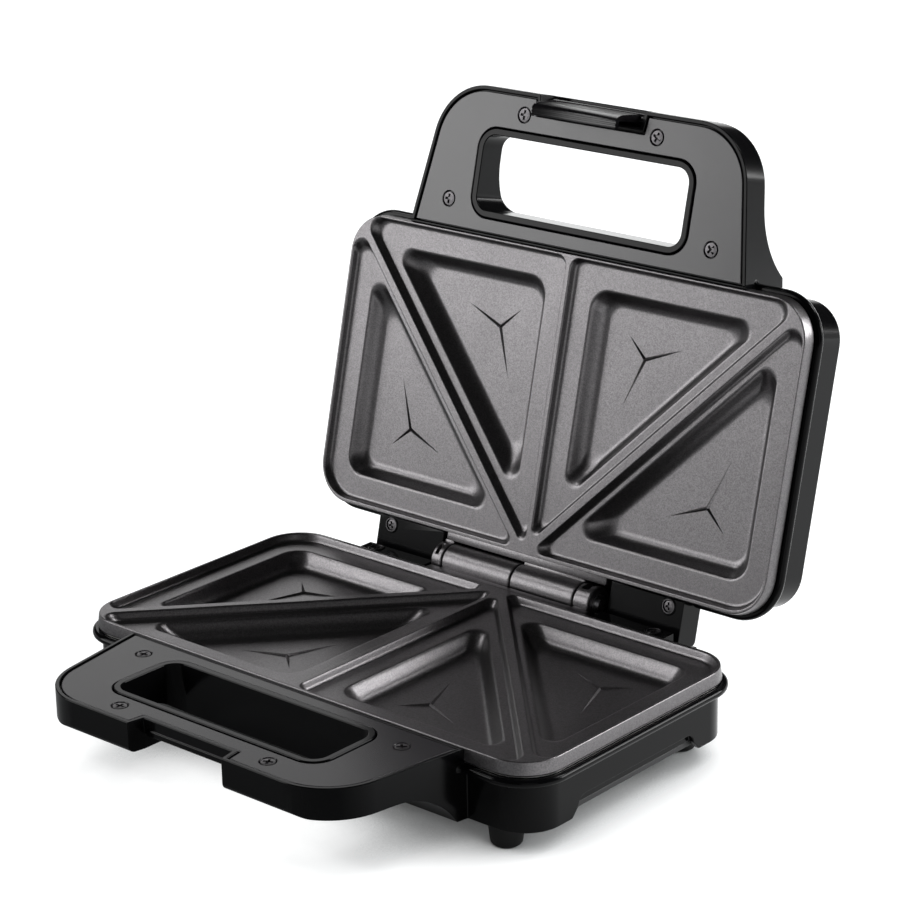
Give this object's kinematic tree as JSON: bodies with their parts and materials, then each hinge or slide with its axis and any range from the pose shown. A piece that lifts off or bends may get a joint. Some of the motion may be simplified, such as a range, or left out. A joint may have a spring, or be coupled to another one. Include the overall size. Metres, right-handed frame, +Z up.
{
  "type": "sandwich toaster",
  "caption": "Sandwich toaster with two hinged heated plates, triangular wells, open hand openings in both handles and a latch clip.",
  "frame": {"origin": "on the surface the feet stand on, midway between the front of the base handle and the rearmost point of the open lid, on the middle line", "axes": "+Z up; -Y towards the handles; +X to the right seen from the front; the lid hinge turns about +X"},
  "size_m": [0.256, 0.2736, 0.2448],
  "materials": {
    "gloss_black": "moulded black plastic with a high gloss",
    "matt_black": "fine-grained black plastic",
    "satin_cover": "smooth satin charcoal plastic",
    "nonstick_casting": "cast aluminium with a speckled graphite non-stick coat",
    "bright_sheet": "pressed sheet, bright",
    "element_tube": "heat-darkened tube",
    "steel_hardware": "zinc-plated steel",
    "rubber_parts": "matt black rubber",
    "pale_plastic": "heat-resistant pale plastic",
    "control_metal": "plain metal case",
    "red_lens": "clear red plastic",
    "green_lens": "clear green plastic",
    "lamp_glass": "small glass bulb"
  },
  "bodies": {
    "base": {"base_housing": "gloss_black", "base_bottom_cover": "matt_black", "base_hinge_cover": "gloss_black", "base_handle_cover": "satin_cover", "base_pan": "bright_sheet", "lower_plate": "nonstick_casting", "lower_element": "element_tube", "lower_element_clamps": "steel_hardware", "lower_clamp_screws": "steel_hardware", "lower_plate_screws": "steel_hardware", "base_cover_screws": "steel_hardware", "base_hinge_screws": "steel_hardware", "bottom_cover_screws": "steel_hardware", "rubber_feet": "rubber_parts", "hinge_pin": "steel_hardware", "hinge_pin_clip": "steel_hardware", "cord_inlet_bush": "rubber_parts", "terminal_block": "pale_plastic", "lower_thermostat": "control_metal", "thermal_fuse": "control_metal"},
    "lid": {"lid_housing": "gloss_black", "lid_panel": "satin_cover", "lid_hinge_cover": "gloss_black", "lid_handle_cover": "satin_cover", "lid_pan": "bright_sheet", "upper_plate": "nonstick_casting", "upper_element": "element_tube", "upper_element_clamps": "steel_hardware", "upper_clamp_screws": "steel_hardware", "upper_plate_screws": "steel_hardware", "lid_cover_screws": "steel_hardware", "lid_hinge_screws": "steel_hardware", "upper_thermostat": "control_metal", "power_lamp_lens": "red_lens", "ready_lamp_lens": "green_lens", "neon_lamps": "lamp_glass", "lamp_bracket": "pale_plastic", "latch_pin": "steel_hardware"},
    "latch": {"latch_clip": "matt_black"}
  },
  "joints": [
    {"name": "lid_hinge", "type": "hinge", "parent": "base", "child": "lid", "pos_m": [0, 0.07319, 0.041], "axis": [1, 0, 0], "range_deg": [0, 103.85]},
    {"name": "latch_pivot", "type": "hinge", "parent": "lid", "child": "latch", "pos_m": [0, 0.13023, 0.2389], "axis": [-1, 0, 0], "range_deg": [-3, 60]}
  ]
}
